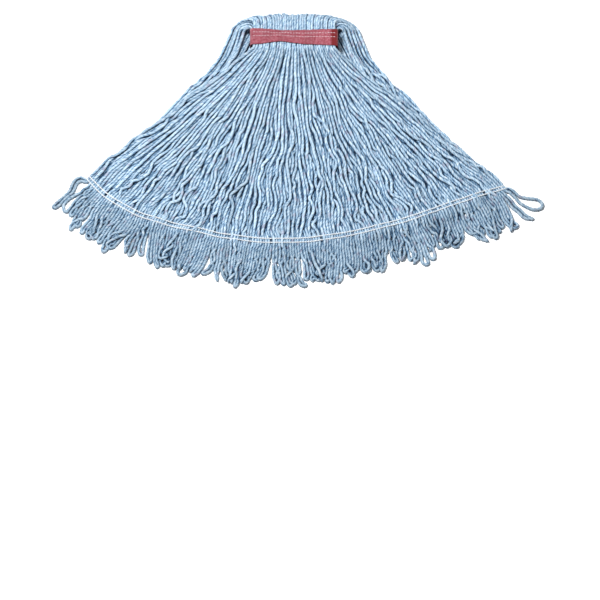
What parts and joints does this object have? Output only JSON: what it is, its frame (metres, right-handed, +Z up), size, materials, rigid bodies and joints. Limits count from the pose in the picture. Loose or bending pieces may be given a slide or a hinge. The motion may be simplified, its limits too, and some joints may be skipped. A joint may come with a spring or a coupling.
{
  "type": "string mop head",
  "caption": "Looped-end wet mop head: a bundle of soft yarn through a narrow headband, fanned front and back, with sewn tailbands and a looped fringe.",
  "frame": {"origin": "middle of the underside of the mop as it lies on its back half", "axes": "+Z up out of the headband's front face, +X across the mop along the headband, -Y from the headband towards the fringe"},
  "size_m": [0.737, 0.4524, 0.046],
  "materials": {
    "yarn": "matte",
    "headband_tape": "matte",
    "headband_thread": "matte",
    "tailband_thread": "matte"
  },
  "bodies": {
    "head": {"head_hank_01": "yarn", "head_hank_02": "yarn", "head_hank_03": "yarn", "head_hank_04": "yarn", "head_hank_05": "yarn", "head_hank_06": "yarn", "head_hank_07": "yarn", "head_hank_08": "yarn", "head_hank_09": "yarn", "head_hank_10": "yarn", "headband": "headband_tape", "headband_front_stitch_upper": "headband_thread", "headband_front_stitch_lower": "headband_thread", "headband_back_stitch_upper": "headband_thread", "headband_back_stitch_lower": "headband_thread"},
    "front_skirt": {"front_hank_01": "yarn", "front_hank_02": "yarn", "front_hank_03": "yarn", "front_hank_04": "yarn", "front_hank_05": "yarn", "front_hank_06": "yarn", "front_hank_07": "yarn", "front_hank_08": "yarn", "front_hank_09": "yarn", "front_hank_10": "yarn", "front_tailband_upper_needle_thread": "tailband_thread", "front_tailband_upper_looper_thread": "tailband_thread", "front_tailband_lower_needle_thread": "tailband_thread", "front_tailband_lower_looper_thread": "tailband_thread", "stray_loop_left": "yarn", "stray_loop_right": "yarn"},
    "back_skirt": {"back_hank_01": "yarn", "back_hank_02": "yarn", "back_hank_03": "yarn", "back_hank_04": "yarn", "back_hank_05": "yarn", "back_hank_06": "yarn", "back_hank_07": "yarn", "back_hank_08": "yarn", "back_hank_09": "yarn", "back_hank_10": "yarn", "back_tailband_upper_needle_thread": "tailband_thread", "back_tailband_upper_looper_thread": "tailband_thread", "back_tailband_lower_needle_thread": "tailband_thread", "back_tailband_lower_looper_thread": "tailband_thread"}
  },
  "joints": [
    {"name": "front_skirt_bend", "type": "hinge", "parent": "head", "child": "front_skirt", "pos_m": [-0.0047, 0.12051, 0.0252], "axis": [-1, 0, 0], "range_deg": [0, 90]},
    {"name": "back_skirt_bend", "type": "hinge", "parent": "head", "child": "back_skirt", "pos_m": [-0.0047, 0.12051, 0.0072], "axis": [1, 0, 0], "range_deg": [0, 90]}
  ]
}
